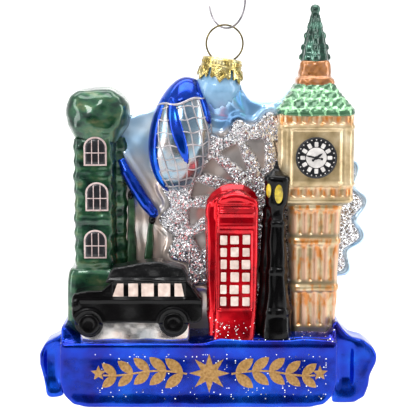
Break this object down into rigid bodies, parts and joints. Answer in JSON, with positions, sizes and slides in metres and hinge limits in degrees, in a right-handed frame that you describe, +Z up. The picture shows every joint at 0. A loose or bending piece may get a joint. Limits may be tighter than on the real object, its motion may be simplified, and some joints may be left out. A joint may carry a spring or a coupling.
{
  "type": "blown glass christmas ornament",
  "caption": "Blown-glass hanging ornament: a city skyline on a banner base, with a stamped crown cap, wire ring and wire hook.",
  "frame": {"origin": "inside of the hook's upper bend, where the hook sits on its branch", "axes": "+Z up along the hanging line; the decorated side faces -Y; +X to the right as seen from the decorated side"},
  "size_m": [0.1128, 0.0383, 0.1765],
  "materials": {
    "hook_wire": "thin drawn steel wire, dull bright",
    "hanger_brass": "drawn brass wire, antiqued dark",
    "cap_brass": "stamped brass-plated tinplate, antiqued",
    "sky_lacquer": "silvered glass under pale blue translucent lacquer",
    "bare_silvering": "silvered glass under clear lacquer",
    "neck_lacquer": "thin matt steel-blue lacquer, unsilvered",
    "banner_lacquer": "silvered glass under deep blue translucent lacquer",
    "gold_print": "gold bronze-powder print",
    "stone_lacquer": "silvered glass under pale gold lacquer with orange dabs",
    "terracotta_lacquer": "silvered glass under terracotta lacquer",
    "spire_lacquer": "silvered glass under dark green lacquer",
    "roof_lacquer": "silvered glass under pale and dark green dabs",
    "black_print": "black printed decal",
    "ivory_print": "ivory printed decal",
    "red_lacquer": "silvered glass under red translucent lacquer",
    "pane_enamel": "pale pink enamel",
    "amber_enamel": "amber enamel",
    "black_lacquer": "glass under opaque gloss black lacquer",
    "green_lacquer": "silvered glass under dark green translucent lacquer",
    "cobalt_lacquer": "silvered glass under cobalt translucent lacquer",
    "silver_glitter": "silver glitter flakes on adhesive over the glass"
  },
  "bodies": {
    "hook": {"hook": "hook_wire"},
    "hanger": {"hanger_wire": "hanger_brass"},
    "cap": {"crown_cap": "cap_brass"},
    "glass": {"neck": "neck_lacquer", "sky": "sky_lacquer", "sky_right": "sky_lacquer", "road": "bare_silvering", "banner": "banner_lacquer", "banner_tail_left": "banner_lacquer", "banner_tail_right": "banner_lacquer", "banner_scroll": "gold_print", "clock_shaft": "stone_lacquer", "clock_belfry": "stone_lacquer", "clock_roof": "roof_lacquer", "clock_turret": "terracotta_lacquer", "clock_spire": "spire_lacquer", "clock_dial": "black_print", "clock_numerals": "ivory_print", "clock_hands": "black_print", "phone_box": "red_lacquer", "phone_box_crown": "red_lacquer", "phone_box_panes": "pane_enamel", "lamp_post": "black_lacquer", "lamp_panes": "amber_enamel", "taxi_body": "black_lacquer", "taxi_luggage": "black_lacquer", "taxi_windows": "pane_enamel", "taxi_wheels": "black_lacquer", "taxi_bumper": "black_lacquer", "bridge_plinth": "green_lacquer", "bridge_shaft": "green_lacquer", "bridge_head": "green_lacquer", "bridge_windows": "black_print", "bridge_chain": "cobalt_lacquer", "bridge_posts": "green_lacquer", "egg_tower": "bare_silvering", "egg_tower_cap": "cobalt_lacquer", "wheel_rim": "silver_glitter", "wheel_spokes": "silver_glitter"}
  },
  "joints": [
    {"name": "ring_swing", "type": "hinge", "parent": "hook", "child": "hanger", "pos_m": [0, 0, -0.05265], "axis": [0, 1, 0], "range_deg": [-45, 45]},
    {"name": "ring_drop", "type": "slide", "parent": "hanger", "child": "cap", "axis": [0.1392, 0, 0.9903], "range_m": [0, 0.0011]},
    {"name": "neck_turn", "type": "hinge", "parent": "cap", "child": "glass", "pos_m": [-0.00143, 0, -0.06282], "axis": [0.1392, 0, 0.9903], "continuous": true}
  ]
}
